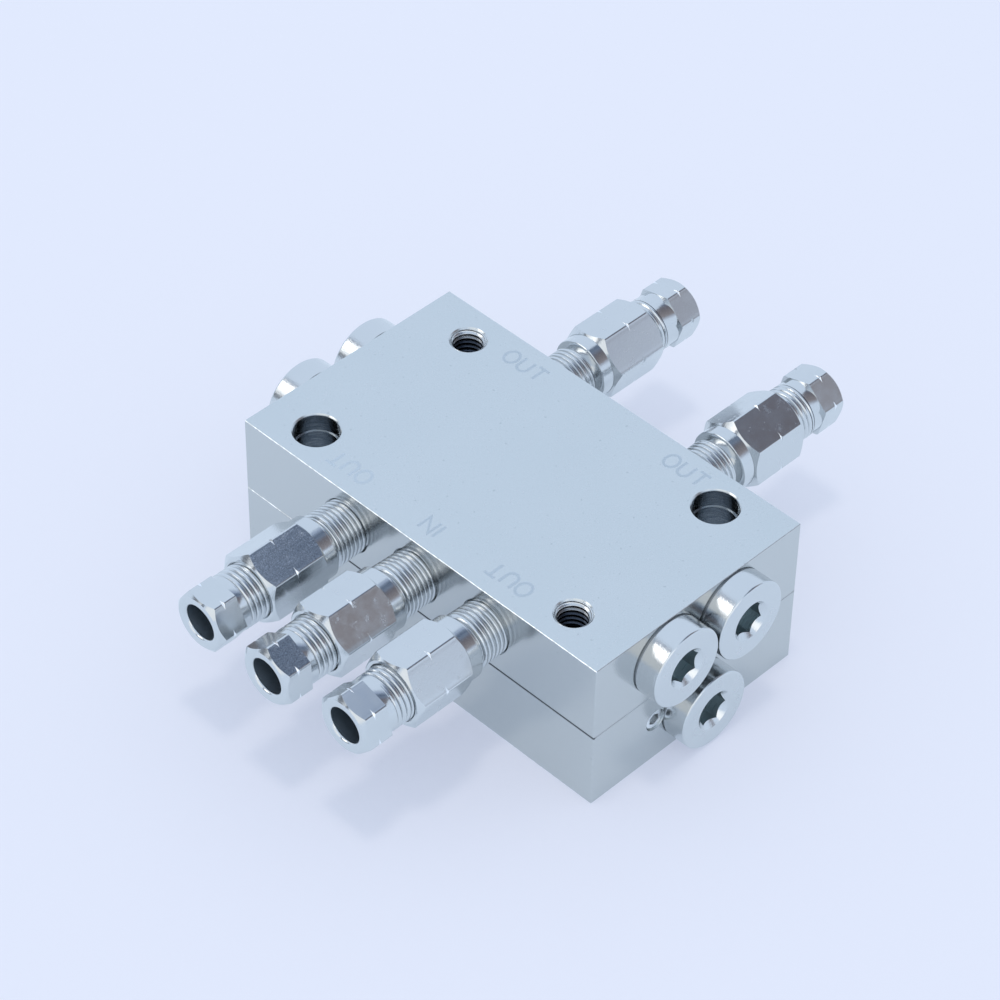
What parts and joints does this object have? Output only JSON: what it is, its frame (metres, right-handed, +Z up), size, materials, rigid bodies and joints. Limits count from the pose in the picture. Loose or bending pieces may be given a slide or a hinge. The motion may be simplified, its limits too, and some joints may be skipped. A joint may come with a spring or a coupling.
{
  "type": "lubricant divider block",
  "caption": "Rectangular two-plate steel lubricant divider with screwed tube fittings along its sides, hex-socket plugs on its ends and corner mounting holes.",
  "frame": {"origin": "middle of the block's underside, on the surface it rests on", "axes": "+X along the block's length and its piston bores, -Y towards the inlet fitting, +Z up"},
  "size_m": [0.089, 0.1121, 0.03],
  "materials": {
    "plate_zinc": "satin ground steel with bright bluish zinc plating",
    "fitting_zinc": "glossy turned steel with bright zinc plating",
    "plug_zinc": "turned steel with bright zinc plating",
    "washer_steel": "plain soft steel",
    "piston_steel": "ground and lapped steel",
    "black_screw": "black oxide steel",
    "grub_steel": "zinc plated steel",
    "ferrule_brass": "turned brass",
    "seal_rubber": "moulded black rubber"
  },
  "bodies": {
    "block": {"upper_plate": "plate_zinc", "lower_plate": "plate_zinc", "clamp_screw_front": "black_screw", "clamp_screw_back": "black_screw", "plug_right_front": "plug_zinc", "plug_right_back": "plug_zinc", "plug_right_lower": "plug_zinc", "plug_left_front": "plug_zinc", "plug_left_back": "plug_zinc", "plug_left_lower": "plug_zinc", "washer_right_front": "washer_steel", "washer_right_back": "washer_steel", "washer_right_lower": "washer_steel", "washer_left_front": "washer_steel", "washer_left_back": "washer_steel", "washer_left_lower": "washer_steel", "inlet_body": "fitting_zinc", "outlet_front_left_body": "fitting_zinc", "outlet_front_right_body": "fitting_zinc", "outlet_back_left_body": "fitting_zinc", "outlet_back_right_body": "fitting_zinc", "inlet_nut": "fitting_zinc", "outlet_front_left_nut": "fitting_zinc", "outlet_front_right_nut": "fitting_zinc", "outlet_back_left_nut": "fitting_zinc", "outlet_back_right_nut": "fitting_zinc", "inlet_ferrule": "ferrule_brass", "outlet_front_left_ferrule": "ferrule_brass", "outlet_front_right_ferrule": "ferrule_brass", "outlet_back_left_ferrule": "ferrule_brass", "outlet_back_right_ferrule": "ferrule_brass", "seal_feed": "seal_rubber", "seal_left": "seal_rubber", "seal_right": "seal_rubber", "seal_cross_left": "seal_rubber", "seal_cross_right": "seal_rubber", "crossover_screw": "grub_steel"},
    "front_piston": {"piston_front": "piston_steel"},
    "back_piston": {"piston_back": "piston_steel"},
    "lower_piston": {"piston_lower": "piston_steel"}
  },
  "joints": [
    {"name": "front_piston_slide", "type": "slide", "parent": "block", "child": "front_piston", "axis": [1, 0, 0], "range_m": [-0.003, 0.003]},
    {"name": "back_piston_slide", "type": "slide", "parent": "block", "child": "back_piston", "axis": [1, 0, 0], "range_m": [-0.003, 0.003]},
    {"name": "lower_piston_slide", "type": "slide", "parent": "block", "child": "lower_piston", "axis": [1, 0, 0], "range_m": [-0.003, 0.003]}
  ]
}
